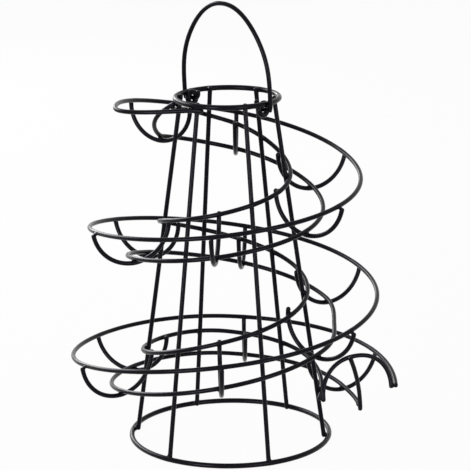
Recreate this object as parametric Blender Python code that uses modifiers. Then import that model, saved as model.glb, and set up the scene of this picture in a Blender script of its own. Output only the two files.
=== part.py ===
"""Rolling egg dispenser: a tower of round steel wire with a spiral chute for eggs.

Six straight rods stand inside a wide base ring and a narrow top ring. Three long wires,
an outer rail, an inner rail and a keel below them, wind down around the rods and lie in
U shaped cradles. An arch with an upright bar stops the eggs at the outlet, and a bail
handle swings in two eyelets on the top ring.

Lengths are in metres and angles in degrees. A travel angle is measured along the chute:
0 is at the left of the tower, and it grows the way the eggs roll, clockwise from above.
"""
import math

import bmesh
import bpy
import numpy as np
from mathutils import Matrix, Vector

# Wire and welds
WIRE_DIAMETER = 0.0040
WELD_GAP = 0.0003
WIRE_FACETS = 8
WIRE_STEP_ANGLE = 8.2

# Tower; a foot turn is how far down the chute from its top a rod's foot is welded by hand
BASE_RING_RADIUS = 0.0943
TOP_RING_RADIUS = 0.048
TOWER_RISE = 0.3272
RING_STEPS = 64
ROD_COUNT = 6
FIRST_ROD_ANGLE = 8.2
ROD_TOP_PAST_RING = 0.0014
ROD_FOOT_PAST_RING = 0.0006
ROD_FOOT_TURNS = (0, 0, 0, 0, -1.2, 0.7)

# Chute: the height of its rails, and how steep each quarter turn is beside the others
START_BELOW_TOP_RING = 0.010
OUTLET_ABOVE_BASE_RING = 0.051
QUARTER_TURN_SLOPES = (2.45, 3.80, 2.40, 2.31, 3.27, 3.22, 2.92, 3.10, 0.85, 2.29)
OUTLET_SLOPE = 4.6

# Chute: distance between the rails, and how far the outer rail lies below the inner one
WIDTH_AT_START = 0.0539
WIDTH = 0.0655
WIDTH_AT_OUTLET = 0.0704
BANK_AT_START = -0.0042
BANK = 0.0048
BANK_AT_OUTLET = 0.0010
START_BLEND_ANGLE = 124.0
OUTLET_BLEND_ANGLE = 126.0
KEEL_DEPTH = 0.0304

# Ends of the long wires
RAIL_START_ANGLE = -1.8
NOSE_REACH = 0.028
NOSE_DIP = 0.0025
NOSE_END_REACH = 0.010
NOSE_END_TURN = 20.0
NOSE_PAST_ROD = 0.0075
NOSE_STEPS = 16
OUTER_RAIL_END_ANGLE = 903.7
INNER_RAIL_PAST_LAST_ROD = 10.3
KEEL_END_ANGLE = 894.8

# Where the long wires were bent off their even line
OUTER_RAIL_LIFT = 0.0023
OUTER_RAIL_LIFT_ANGLE = 668.0
OUTER_RAIL_LIFT_REACH = 92.0
OUTER_RAIL_BULGE = 0.0007
OUTER_RAIL_BULGE_ANGLE = 712.0
OUTER_RAIL_BULGE_REACH = 55.0
KEEL_SAG = 0.0012
KEEL_SAG_ANGLE = 648.0
KEEL_SAG_REACH = 60.0
KEEL_END_DRIFT = 0.0026
KEEL_DRIFT_REACH = 18.0
KEEL_DENT = 0.0054
KEEL_DENT_ANGLE = 543.0
KEEL_DENT_REACH = 29.0

# Curl at the keel's upper end
CURL_PAST_FIRST_CRADLE = 2.0
CURL_LOWER_REACH = 0.003
CURL_UPPER_REACH = 0.038
CURL_UPPER_SLOPE = 27.0
CURL_TIP_BELOW_TOP_RING = 0.0066
CURL_STEPS = 16

# Cradles: their even place between two rods, how far down the chute from it each is welded
# by hand, and how far each is turned, so that it meets the inner rail further down
CRADLE_IN_BAY = 0.45
CRADLE_OFFSETS = (1, 0, -2, 2, 2, 3, 2, 2, 0, 4, -1, 1, -1, 2, 0)
CRADLE_TURNS = (6, 4, 2, 0, 2, 0, 4, 2, 8, 2, 6, 10, 10, 8, 6)
CRADLE_TIP_PAST_INNER_RAIL = 0.0022
CRADLE_TIP_SHORT_OF_OUTER_RAIL = 0.0004
LONG_TIP_PAST_INNER_RAIL = 0.0068
LONG_TIP_CRADLE = 9
CRADLE_STEPS = 16

# Egg stop
ARCH_HEIGHT = 0.035
ARCH_LEAN = 16.0
ARCH_ROUNDNESS = 2.2
ARCH_STEPS = 20
BAR_ON_ARCH_ANGLE = 98.0
BAR_BOW = 0.0028
BAR_PAST_ARCH = 0.003
BAR_PAST_KEEL = 0.006
BAR_STEPS = 8

# Handle
HANDLE_IN_BAY = 0.547
EYELET_RADIUS = 0.0055
EYELET_STEPS = 20
BAIL_HEIGHT = 0.0939
BAIL_ROUNDNESS = 2.11
BAIL_BULGE = 0.0026
BAIL_STEPS = 40
BAIL_LEAN = 3.4
HOOK_BEND_RADIUS = 0.005
HOOK_BEND_STEPS = 4
HOOK_TIP_LENGTH = 0.003

# Powder coat
COAT_COLOUR = (0.012, 0.012, 0.014, 1.0)
COAT_ROUGHNESS = 0.38
COAT_METALLIC = 0.0

WIRE_RADIUS = WIRE_DIAMETER / 2
WELD_PITCH = WIRE_DIAMETER + WELD_GAP
BASE_RING_HEIGHT = WIRE_RADIUS * math.cos(math.pi / WIRE_FACETS)
TOP_RING_HEIGHT = BASE_RING_HEIGHT + TOWER_RISE
BAY_ANGLE = 360.0 / ROD_COUNT
QUARTERS = len(QUARTER_TURN_SLOPES)


def smooth_step(x):
    """Ease from 0 to 1 with level ends."""
    x = min(max(x, 0.0), 1.0)
    return x * x * (3 - 2 * x)


def rounded(turn, roundness):
    """A point of half a unit circle, made squarer by a roundness above 2."""
    side = math.copysign(abs(math.cos(turn)) ** (2 / roundness), math.cos(turn))
    return side, abs(math.sin(turn)) ** (2 / roundness)


def around(angle, radius, height):
    """The point at a travel angle, a distance from the tower's axis and a height."""
    azimuth = math.radians(180.0 - angle)
    return Vector((radius * math.cos(azimuth), radius * math.sin(azimuth), height))


def outward(angle):
    """The level unit vector that points away from the tower at a travel angle."""
    return around(angle, 1.0, 0.0)


def along(angle):
    """The level unit vector that points the way the eggs roll."""
    return outward(angle + 90.0)


def rod_radius(height):
    """Distance of the rods from the tower's axis at a height."""
    share = (height - BASE_RING_HEIGHT) / TOWER_RISE
    radius = BASE_RING_RADIUS + (TOP_RING_RADIUS - BASE_RING_RADIUS) * share
    return radius - WELD_PITCH / ROD_LEAN_COSINE


def rod_angle(index):
    return FIRST_ROD_ANGLE + BAY_ANGLE * index


def set_by_hand(values, index):
    """What one piece is off by, or nothing where more pieces fit than are listed."""
    return values[index] if index < len(values) else 0


def rod_angle_at(index, height):
    """Angle of a rod at a height: its foot may be turned away from below its top."""
    below_top = (TOP_RING_HEIGHT - height) / TOWER_RISE
    return rod_angle(index) + set_by_hand(ROD_FOOT_TURNS, index % ROD_COUNT) * below_top


def cradle_angle(index):
    return rod_angle(index + CRADLE_IN_BAY) + set_by_hand(CRADLE_OFFSETS, index)


ROD_LEAN_COSINE = math.cos(math.atan((BASE_RING_RADIUS - TOP_RING_RADIUS) / TOWER_RISE))


def station_heights():
    """Height of the chute at the start of each quarter turn, and the fall of one slope unit."""
    start = TOP_RING_HEIGHT - START_BELOW_TOP_RING
    fall = start - BASE_RING_HEIGHT - OUTLET_ABOVE_BASE_RING
    unit = fall / sum(QUARTER_TURN_SLOPES)
    heights = [start]
    for slope in QUARTER_TURN_SLOPES:
        heights.append(heights[-1] - unit * slope)
    return heights, unit


STATIONS, SLOPE_UNIT = station_heights()
STATION_SLOPES = (
    [0.0]
    + [(STATIONS[i + 1] - STATIONS[i - 1]) / 2 for i in range(1, QUARTERS)]
    + [-OUTLET_SLOPE * SLOPE_UNIT]
)


def chute_height(angle):
    """Height midway between the rails: level before the start, then a smooth curve."""
    turn = angle / 90.0
    if turn <= 0.0:
        return STATIONS[0]
    if turn >= QUARTERS:
        return STATIONS[-1] + (turn - QUARTERS) * STATION_SLOPES[-1]
    i = int(turn)
    s = turn - i
    return (
        (2 * s**3 - 3 * s**2 + 1) * STATIONS[i]
        + (s**3 - 2 * s**2 + s) * STATION_SLOPES[i]
        + (3 * s**2 - 2 * s**3) * STATIONS[i + 1]
        + (s**3 - s**2) * STATION_SLOPES[i + 1]
    )


def blend_along(angle, at_start, between, at_outlet):
    """A size that changes over the first stretch of the chute and over the last one."""
    opening = smooth_step(angle / START_BLEND_ANGLE)
    closing = smooth_step((angle - 90.0 * QUARTERS) / OUTLET_BLEND_ANGLE + 1.0)
    return at_start + (between - at_start) * opening + (at_outlet - between) * closing


def bend(angle, size, at, reach):
    """A bend by hand: its full size at one angle, fading to nothing on both sides."""
    return size * smooth_step(1.0 - abs(angle - at) / reach)


class Section:
    """The chute's cross-section at a travel angle: the places of its three wires."""

    def __init__(self, angle):
        width = blend_along(angle, WIDTH_AT_START, WIDTH, WIDTH_AT_OUTLET)
        bank = blend_along(angle, BANK_AT_START, BANK, BANK_AT_OUTLET)
        middle = chute_height(angle)
        inner_height = middle + bank / 2
        inner_radius = rod_radius(inner_height) + WELD_PITCH / ROD_LEAN_COSINE
        tilt = math.atan2(bank, width)
        down = -outward(angle) * math.sin(tilt) - Vector((0, 0, math.cos(tilt)))
        self.inner = around(angle, inner_radius, inner_height)
        even_outer = around(angle, inner_radius + width, middle - bank / 2)
        lift = bend(angle, OUTER_RAIL_LIFT, OUTER_RAIL_LIFT_ANGLE, OUTER_RAIL_LIFT_REACH)
        bulge = bend(angle, OUTER_RAIL_BULGE, OUTER_RAIL_BULGE_ANGLE, OUTER_RAIL_BULGE_REACH)
        self.outer = even_outer + outward(angle) * bulge + Vector((0, 0, lift))
        self.middle = (self.inner + even_outer) / 2
        self.keel = self.middle + down * KEEL_DEPTH


def travel_angles(start, end, contacts):
    """Angles from start to end in small steps, with a point at each contact between them."""
    stops = [start] + [a for a in contacts if start + 0.5 < a < end - 0.5] + [end]
    angles = []
    for low, high in zip(stops, stops[1:]):
        steps = max(1, math.ceil((high - low) / WIRE_STEP_ANGLE - 1e-6))
        angles += [low + (high - low) * k / steps for k in range(steps)]
    return angles + [end]


ROD_CONTACTS = [
    rod_angle_at(i, chute_height(rod_angle(i)))
    for i in range(math.ceil(90.0 * QUARTERS / BAY_ANGLE) + 1)
]
CRADLE_ANGLES = [
    cradle_angle(i) for i in range(len(ROD_CONTACTS))
    if cradle_angle(i) < KEEL_END_ANGLE - WIRE_STEP_ANGLE
]
LAST_ROD_ANGLE = max(a for a in ROD_CONTACTS if a < 90.0 * QUARTERS + BAY_ANGLE / 2)
INNER_RAIL_END_ANGLE = LAST_ROD_ANGLE + INNER_RAIL_PAST_LAST_ROD
CONTACTS = sorted(ROD_CONTACTS + CRADLE_ANGLES)


def nose_points():
    """The bend from the outer rail around the chute's start to the last rod, under the ring."""
    height = TOP_RING_HEIGHT - WELD_PITCH
    rod = around(rod_angle_at(-1, height), rod_radius(height), height)
    run = -along(rod_angle(-1) - NOSE_END_TURN)
    seat = rod + Vector((run.y, -run.x, 0)) * (WELD_PITCH / ROD_LEAN_COSINE)
    rail = Section(RAIL_START_ANGLE).outer
    p1 = rail - along(RAIL_START_ANGLE) * NOSE_REACH - Vector((0, 0, NOSE_DIP))
    p2 = seat - run * NOSE_END_REACH
    points = []
    for k in range(1, NOSE_STEPS + 1):
        s = k / NOSE_STEPS
        points.append(
            rail * (1 - s) ** 3 + p1 * 3 * s * (1 - s) ** 2 + p2 * 3 * s**2 * (1 - s) + seat * s**3
        )
    return points + [seat + run * NOSE_PAST_ROD]


def outer_rail_points():
    """The outer rail from the outlet up to the start, and the nose after it."""
    angles = travel_angles(RAIL_START_ANGLE, OUTER_RAIL_END_ANGLE, CONTACTS)
    return [Section(a).outer for a in reversed(angles)] + nose_points()


def inner_rail_points():
    angles = travel_angles(RAIL_START_ANGLE, INNER_RAIL_END_ANGLE, CONTACTS)
    return [Section(a).inner for a in angles]


def keel_place(angle):
    """The keel, which is bent in and down at places and leaves the middle before the bar."""
    drift = bend(angle, KEEL_END_DRIFT, KEEL_END_ANGLE, KEEL_DRIFT_REACH)
    dent = bend(angle, KEEL_DENT, KEEL_DENT_ANGLE, KEEL_DENT_REACH)
    sag = bend(angle, KEEL_SAG, KEEL_SAG_ANGLE, KEEL_SAG_REACH)
    return Section(angle).keel + outward(angle) * (drift - dent) - Vector((0, 0, sag))


def keel_points():
    """The keel, with its upper end curled up to the outside of the first rod."""
    begin = CRADLE_ANGLES[0] + CURL_PAST_FIRST_CRADLE
    low = Section(begin).keel
    low_tangent = (low - Section(begin + 0.5).keel).normalized()
    tip_height = TOP_RING_HEIGHT - CURL_TIP_BELOW_TOP_RING
    first_rod = rod_angle(0)
    tip = around(first_rod, rod_radius(tip_height) + WELD_PITCH / ROD_LEAN_COSINE, tip_height)
    slope = math.radians(CURL_UPPER_SLOPE)
    tip_tangent = outward(first_rod) * math.cos(slope) - Vector((0, 0, math.sin(slope)))
    p1 = low + low_tangent * CURL_LOWER_REACH
    p2 = tip + tip_tangent * CURL_UPPER_REACH
    points = []
    for k in range(CURL_STEPS):
        s = k / CURL_STEPS
        points.append(
            tip * (1 - s) ** 3 + p2 * 3 * s * (1 - s) ** 2 + p1 * 3 * s**2 * (1 - s) + low * s**3
        )
    return points + [keel_place(a) for a in travel_angles(begin, KEEL_END_ANGLE, CONTACTS)]


def circle_through(a, b, c):
    """Centre of the circle through three points."""
    u = b - a
    v = c - a
    normal = u.cross(v)
    reach = normal.cross(u) * v.length_squared + v.cross(normal) * u.length_squared
    return a + reach / (2 * normal.length_squared)


def cradle_contacts(angle, turned):
    """Where a cradle meets the inner rail, the keel and the outer rail."""
    section = Section(angle)
    lead = (section.outer - section.inner).length / 2 * math.sin(math.radians(turned))
    down_the_chute = math.degrees(lead / section.inner.xy.length)
    up_the_chute = math.degrees(lead / section.outer.xy.length)
    inner = Section(angle + down_the_chute).inner
    outer = Section(angle - up_the_chute).outer
    return inner, keel_place(angle), outer


def cradle_points(angle, turned, inner_tip):
    """A U that carries the three wires on its inside, one tip above the inner rail."""
    inner, keel, outer = cradle_contacts(angle, turned)
    centre = circle_through(inner, keel, outer)
    down = (keel - centre).normalized()
    across = ((outer - inner) - down * (outer - inner).dot(down)).normalized()
    radius = (keel - centre).length + WELD_PITCH
    start = -(inner - centre).angle(down) - inner_tip / radius
    end = (outer - centre).angle(down) - CRADLE_TIP_SHORT_OF_OUTER_RAIL / radius
    points = []
    for k in range(CRADLE_STEPS + 1):
        share = 2 * k / CRADLE_STEPS - 1
        turn = end * share if share > 0 else start * -share
        points.append(centre + (down * math.cos(turn) + across * math.sin(turn)) * radius)
    return points


class EggStop:
    """The arch over the outlet, and the bar between the arch and the end of the keel."""

    def __init__(self):
        outer_end = Section(OUTER_RAIL_END_ANGLE).outer
        inner_end = Section(INNER_RAIL_END_ANGLE).inner
        self.outer_foot = outer_end - outward(OUTER_RAIL_END_ANGLE) * WELD_PITCH
        self.inner_foot = inner_end + outward(INNER_RAIL_END_ANGLE) * WELD_PITCH
        self.middle = (self.outer_foot + self.inner_foot) / 2
        self.half = (self.outer_foot - self.inner_foot) / 2
        upstream = Vector((0, 0, 1)).cross(self.half).normalized()
        lean = math.radians(ARCH_LEAN)
        self.rise = Vector((0, 0, math.cos(lean))) + upstream * math.sin(lean)

    def arch_point(self, turn):
        side, rise = rounded(turn, ARCH_ROUNDNESS)
        return self.middle + self.half * side + self.rise * (ARCH_HEIGHT * rise)

    def arch_points(self):
        foot = self.rise * -WIRE_RADIUS
        arc = [self.arch_point(math.pi * k / ARCH_STEPS) for k in range(ARCH_STEPS + 1)]
        return [arc[0] + foot] + arc + [arc[-1] + foot]

    def bar_points(self):
        """From above the arch, in front of it, to below the keel, in front of its end."""
        keel_end = keel_place(KEEL_END_ANGLE)
        keel_run = (keel_end - keel_place(KEEL_END_ANGLE - 0.5)).normalized()
        edge = WIRE_RADIUS * -keel_run.z
        at_keel = keel_end + along(KEEL_END_ANGLE) * (edge + WIRE_RADIUS + WELD_GAP)
        turn = math.radians(BAR_ON_ARCH_ANGLE)
        crossing = self.arch_point(turn)
        arch_run = (self.arch_point(turn - 0.01) - crossing).normalized()
        front = arch_run.cross(crossing - at_keel).normalized()
        on_arch = crossing + front * WELD_PITCH
        run = (at_keel - on_arch).normalized()
        top = on_arch - run * BAR_PAST_ARCH
        foot = at_keel + run * BAR_PAST_KEEL
        side = front.cross(run)
        points = []
        for k in range(BAR_STEPS + 1):
            s = k / BAR_STEPS
            points.append(top.lerp(foot, s) + side * (BAR_BOW * 4 * s * (1 - s)))
        return points


def handle_frame():
    """The handle's hinge: the angle it lies at, its middle and the direction of its axis."""
    angle = rod_angle(HANDLE_IN_BAY)
    middle = Vector((0, 0, TOP_RING_HEIGHT - EYELET_RADIUS))
    return angle, middle, outward(angle)


def bail_points():
    """The handle about its hinge, upright: x along the axis, z up, hooks bent inwards."""
    reach = TOP_RING_RADIUS + WELD_PITCH
    inner = TOP_RING_RADIUS - WELD_PITCH - HOOK_TIP_LENGTH - HOOK_BEND_RADIUS
    hook = [Vector((inner, 0, HOOK_BEND_RADIUS + HOOK_TIP_LENGTH))]
    for k in range(HOOK_BEND_STEPS + 1):
        turn = math.pi / 2 * k / HOOK_BEND_STEPS
        hook.append(Vector((
            inner + HOOK_BEND_RADIUS * (1 - math.cos(turn)),
            0,
            HOOK_BEND_RADIUS * (1 - math.sin(turn)),
        )))
    arch = []
    for k in range(BAIL_STEPS + 1):
        side, rise = rounded(math.pi * k / BAIL_STEPS, BAIL_ROUNDNESS)
        x = side * (reach + BAIL_BULGE * math.sin(math.pi * rise) ** 2)
        arch.append(Vector((x, 0, rise * BAIL_HEIGHT)))
    mirrored = [Vector((-p.x, p.y, p.z)) for p in reversed(hook)]
    return hook + arch + mirrored


def clear_scene():
    for item in list(bpy.data.objects):
        bpy.data.objects.remove(item)


def make_collection(name):
    collection = bpy.data.collections.new(name)
    bpy.context.scene.collection.children.link(collection)
    return collection


def powder_coat(name):
    """Each piece has its own copy of the black powder coat."""
    material = bpy.data.materials.new(name + "_coat")
    material.use_nodes = True
    shader = material.node_tree.nodes["Principled BSDF"]
    shader.inputs["Base Color"].default_value = COAT_COLOUR
    shader.inputs["Roughness"].default_value = COAT_ROUGHNESS
    shader.inputs["Metallic"].default_value = COAT_METALLIC
    return material


def empty(collection, name, parent, matrix):
    item = bpy.data.objects.new(name, None)
    collection.objects.link(item)
    item.parent = parent
    item.matrix_local = matrix
    return item


def wire(collection, name, parent, points):
    """A round wire with flat ends along a line of points."""
    curve = bpy.data.curves.new(name, "CURVE")
    curve.dimensions = "3D"
    curve.bevel_depth = WIRE_RADIUS
    curve.bevel_resolution = (WIRE_FACETS - 4) // 2
    curve.use_fill_caps = True
    spline = curve.splines.new("POLY")
    spline.points.add(len(points) - 1)
    for point, place in zip(spline.points, points):
        point.co = (*place, 1.0)
    curve.materials.append(powder_coat(name))
    item = bpy.data.objects.new(name, curve)
    item.parent = parent
    collection.objects.link(item)


def turned_ring(collection, name, parent, radius, steps, matrix):
    """A wire ring about +Z, turned from a faceted profile with a flat at top and bottom."""
    mesh = bpy.data.meshes.new(name)
    shape = bmesh.new()
    corners = []
    for k in range(WIRE_FACETS):
        turn = math.pi / 2 - math.pi / WIRE_FACETS * (2 * k + 1)
        corners.append(shape.verts.new((
            radius + WIRE_RADIUS * math.cos(turn),
            0,
            WIRE_RADIUS * math.sin(turn),
        )))
    for a, b in zip(corners, corners[1:] + corners[:1]):
        shape.edges.new((a, b))
    shape.to_mesh(mesh)
    shape.free()
    mesh.materials.append(powder_coat(name))
    item = bpy.data.objects.new(name, mesh)
    item.parent = parent
    item.matrix_local = matrix
    screw = item.modifiers.new("turn", "SCREW")
    screw.axis = "Z"
    screw.angle = math.tau
    screw.steps = steps
    screw.render_steps = steps
    screw.use_merge_vertices = True
    screw.merge_threshold = 0.00001
    screw.use_smooth_shade = True
    collection.objects.link(item)


def make_tower(collection, tower):
    base_place = Matrix.Translation((0, 0, BASE_RING_HEIGHT))
    turned_ring(collection, "base_ring", tower, BASE_RING_RADIUS, RING_STEPS, base_place)
    top_place = Matrix.Translation((0, 0, TOP_RING_HEIGHT))
    turned_ring(collection, "top_ring", tower, TOP_RING_RADIUS, RING_STEPS, top_place)
    foot_height = BASE_RING_HEIGHT - ROD_FOOT_PAST_RING
    tip_height = TOP_RING_HEIGHT + ROD_TOP_PAST_RING
    for index in range(ROD_COUNT):
        foot = around(rod_angle_at(index, foot_height), rod_radius(foot_height), foot_height)
        tip = around(rod_angle_at(index, tip_height), rod_radius(tip_height), tip_height)
        wire(collection, f"upright_rod_{index + 1}", tower, [foot, tip])


def chute_wires():
    """The points of each wire of the chute, under the wire's name."""
    wires = {
        "outer_rail": outer_rail_points(),
        "inner_rail": inner_rail_points(),
        "keel_wire": keel_points(),
    }
    for index, angle in enumerate(CRADLE_ANGLES):
        turned = set_by_hand(CRADLE_TURNS, index)
        long_tip = index == LONG_TIP_CRADLE
        inner_tip = LONG_TIP_PAST_INNER_RAIL if long_tip else CRADLE_TIP_PAST_INNER_RAIL
        wires[f"cradle_{index + 1:02d}"] = cradle_points(angle, turned, inner_tip)
    return wires


def plan_middle(wires):
    """The middle of the chute's box seen from above, which is the middle of the whole rack's."""
    places = np.array([point for points in wires.values() for point in points])
    middle = (places.min(axis=0) + places.max(axis=0)) / 2
    return Vector((middle[0], middle[1], 0.0))


def make_egg_stop(collection, tower):
    stop = EggStop()
    wire(collection, "stop_arch", tower, stop.arch_points())
    wire(collection, "stop_bar", tower, stop.bar_points())


def make_handle(collection, tower):
    angle, middle, axis = handle_frame()
    facing = axis.to_track_quat("Z", "Y").to_matrix().to_4x4()
    for index, side in enumerate((1, -1)):
        name = f"handle_eyelet_{index + 1}"
        place = Matrix.Translation(middle + axis * (side * (TOP_RING_RADIUS - WELD_PITCH)))
        turned_ring(collection, name, tower, EYELET_RADIUS, EYELET_STEPS, place @ facing)
    lean = Matrix.Rotation(-math.radians(BAIL_LEAN), 4, axis)
    turn = Matrix.Rotation(math.radians(180.0 - angle), 4, "Z")
    hinge = empty(collection, "handle_hinge", tower, Matrix.Translation(middle) @ lean @ turn)
    wire(collection, "bail_handle", hinge, bail_points())


def build():
    clear_scene()
    collection = make_collection("rolling_egg_dispenser")
    wires = chute_wires()
    tower = empty(collection, "tower_axis", None, Matrix.Translation(-plan_middle(wires)))
    make_tower(collection, tower)
    for name, points in wires.items():
        wire(collection, name, tower, points)
    make_egg_stop(collection, tower)
    make_handle(collection, tower)


build()
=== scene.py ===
"""Dressed model of a rolling egg dispenser: smooth coated wires, their welds, and a studio.

Lengths are in metres and angles in degrees. The wires run about the tower's axis, which
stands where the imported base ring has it. A travel angle is measured along the chute: 0 is
at the left of the tower, and it grows the way the eggs roll, clockwise from above.
"""
import math

import bmesh
import bpy
import numpy as np
from bpy.props import FloatProperty, FloatVectorProperty, IntProperty, PointerProperty
from mathutils import Matrix, Vector
from mathutils.kdtree import KDTree


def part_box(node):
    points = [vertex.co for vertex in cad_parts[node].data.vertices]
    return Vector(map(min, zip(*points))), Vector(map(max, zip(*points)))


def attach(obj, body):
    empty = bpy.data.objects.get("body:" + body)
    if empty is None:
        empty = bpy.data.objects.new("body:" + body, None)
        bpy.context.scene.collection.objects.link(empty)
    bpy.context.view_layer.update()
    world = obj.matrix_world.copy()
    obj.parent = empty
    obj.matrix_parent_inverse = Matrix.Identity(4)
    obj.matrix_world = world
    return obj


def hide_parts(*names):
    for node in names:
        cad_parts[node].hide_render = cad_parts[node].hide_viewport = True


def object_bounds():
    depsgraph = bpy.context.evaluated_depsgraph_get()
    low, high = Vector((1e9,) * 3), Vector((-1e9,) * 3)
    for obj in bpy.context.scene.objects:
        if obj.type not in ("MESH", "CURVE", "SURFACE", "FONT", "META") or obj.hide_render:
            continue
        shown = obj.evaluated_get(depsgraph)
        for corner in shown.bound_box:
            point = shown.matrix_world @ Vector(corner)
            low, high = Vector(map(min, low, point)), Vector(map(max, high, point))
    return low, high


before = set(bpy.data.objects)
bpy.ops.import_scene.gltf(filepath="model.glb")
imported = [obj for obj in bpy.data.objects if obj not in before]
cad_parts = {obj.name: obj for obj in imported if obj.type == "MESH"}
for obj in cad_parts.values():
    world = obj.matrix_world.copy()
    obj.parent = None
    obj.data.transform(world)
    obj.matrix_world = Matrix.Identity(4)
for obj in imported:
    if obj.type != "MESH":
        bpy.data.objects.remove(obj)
cad_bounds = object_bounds()

bl_info = {
    "name": "Rolling Egg Dispenser",
    "version": (1, 0, 0),
    "blender": (4, 5, 0),
    "location": "3D View > Sidebar > Egg Rack",
    "description": "Builds a coated wire egg dispenser with its welds, floor, light and camera",
    "category": "Object",
}

COAT_MATERIAL = "wire_coat"
FIXED_BODY = "frame"
MOVING_BODY = "handle"


def length(name, description, default):
    """A length a user may change."""
    return FloatProperty(
        name=name, description=description, default=default, unit="LENGTH", precision=5
    )


def share(name, description, default):
    """A plain factor a user may change."""
    return FloatProperty(name=name, description=description, default=default)


def angle(name, description, default):
    """An angle a user may change, in degrees."""
    return share(name, description + ", in degrees", default)


def row(name, description, *default):
    """A row of numbers a user may change, one for each of several like places."""
    return FloatVectorProperty(
        name=name, description=description, default=default, size=len(default)
    )


def tint(name, description, *default):
    """A colour a user may change."""
    return FloatVectorProperty(
        name=name, description=description, default=default, subtype="COLOR", min=0.0, max=1.0
    )


def power(name, description, default):
    """A lamp's power a user may change."""
    return FloatProperty(name=name, description=description, default=default, subtype="POWER")


class TowerSizes(bpy.types.PropertyGroup):
    """The wire, the two rings and the rods."""

    wire_diameter: length("Wire diameter", "Thickness of every wire, without its coat", 0.0040)
    weld_gap: length("Weld gap", "Space between two wires that the weld bridges", 0.0003)
    base_ring_radius: length("Base ring radius", "Radius of the ring at the foot", 0.0943)
    top_ring_radius: length("Top ring radius", "Radius of the ring at the top", 0.048)
    tower_rise: length("Tower rise", "Height from ring to ring", 0.3272)
    rod_count: IntProperty(name="Rods", description="Number of upright rods", default=6, min=3)
    first_rod_angle: angle("First rod", "Travel angle of the first rod", 8.2)
    rod_top_past_ring: length("Rod top", "How far a rod's top passes the top ring", 0.0024)
    rod_foot_past_ring: length("Rod foot", "How far a rod's foot passes the base ring", 0.0006)
    rod_foot_turns: row(
        "Foot turns", "How far down the chute from its top each foot is welded, in degrees",
        0, 0, 0, 0, -1.2, 0.7,
    )


class ChuteSizes(bpy.types.PropertyGroup):
    """The three long wires that wind around the tower."""

    start_below_top_ring: length("Start", "Height of the top ring above the chute's start", 0.010)
    outlet_above_base_ring: length("Outlet", "Height of the chute's end above the base ring", 0.051)
    quarter_turn_slopes: row(
        "Slopes", "How steep each quarter turn is beside the others",
        2.45, 3.80, 2.40, 2.31, 3.27, 3.22, 2.92, 3.10, 0.85, 2.29,
    )
    outlet_slope: share("Outlet slope", "How steep the chute leaves, in the same unit", 4.6)
    width_at_start: length("Width at start", "Distance between the rails at the start", 0.0539)
    width: length("Width", "Distance between the rails", 0.0655)
    width_at_outlet: length("Width at outlet", "Distance between the rails at the outlet", 0.0704)
    bank_at_start: length("Bank at start", "Height of the inner rail above the outer one", -0.0042)
    bank: length("Bank", "Height of the inner rail above the outer one", 0.0048)
    bank_at_outlet: length("Bank at outlet", "Height of the inner rail above the outer one", 0.0010)
    start_blend_angle: angle("Start blend", "Travel over which the start's sizes fade", 124.0)
    outlet_blend_angle: angle("Outlet blend", "Travel over which the outlet's sizes grow", 126.0)
    keel_depth: length("Keel depth", "Depth of the keel below the rails", 0.0304)
    rail_start_angle: angle("Rail start", "Travel angle where the nose begins", -1.8)
    nose_reach: length("Nose", "How far the outer rail runs on before it bends round", 0.028)
    nose_dip: length("Nose dip", "How far the bend dips below the rail", 0.0025)
    nose_end_reach: length("Nose end reach", "How far the bend's end lies straight", 0.010)
    nose_end_turn: angle("Nose end turn", "How far the bend's end points in", 20.0)
    nose_past_rod: length("Nose end", "How far the bend's cut end passes the rod", 0.0075)
    outer_rail_end_angle: angle("Outer rail end", "Travel angle of its cut end", 903.7)
    inner_rail_past_last_rod: angle("Inner rail end", "Travel from the last rod to its end", 10.3)
    keel_end_angle: angle("Keel end", "Travel angle of the keel's cut end", 894.8)
    outer_rail_lift: length("Rail lift", "How far the outer rail is bent up", 0.0023)
    outer_rail_lift_angle: angle("Rail lift place", "Travel angle of the lift", 668.0)
    outer_rail_lift_reach: angle("Rail lift reach", "Travel on each side of the lift", 92.0)
    outer_rail_bulge: length("Rail bulge", "How far the outer rail is bent out", 0.0007)
    outer_rail_bulge_angle: angle("Rail bulge place", "Travel angle of the bulge", 712.0)
    outer_rail_bulge_reach: angle("Rail bulge reach", "Travel on each side of the bulge", 55.0)
    keel_sag: length("Keel sag", "How far the keel is bent down", 0.0012)
    keel_sag_angle: angle("Keel sag place", "Travel angle of the sag", 648.0)
    keel_sag_reach: angle("Keel sag reach", "Travel on each side of the sag", 60.0)
    keel_end_drift: length("Keel drift", "How far the keel's end leaves the middle", 0.0026)
    keel_drift_reach: angle("Keel drift reach", "Travel over which it leaves the middle", 18.0)
    keel_dent: length("Keel dent", "How far the keel is bent in", 0.0054)
    keel_dent_angle: angle("Keel dent place", "Travel angle of the dent", 543.0)
    keel_dent_reach: angle("Keel dent reach", "Travel on each side of the dent", 29.0)
    curl_past_first_cradle: angle("Curl begins", "Travel from the first cradle to the curl", 2.0)
    curl_lower_reach: length("Curl lower reach", "How far the curl runs on before it rises", 0.003)
    curl_upper_reach: length("Curl upper reach", "How far the curl first leans out", 0.038)
    curl_upper_slope: angle("Curl slope", "Slope of the curl's end below the level", 27.0)
    curl_tip_below_top_ring: length("Curl tip", "Depth of the tip below the top ring", 0.0066)


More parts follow.
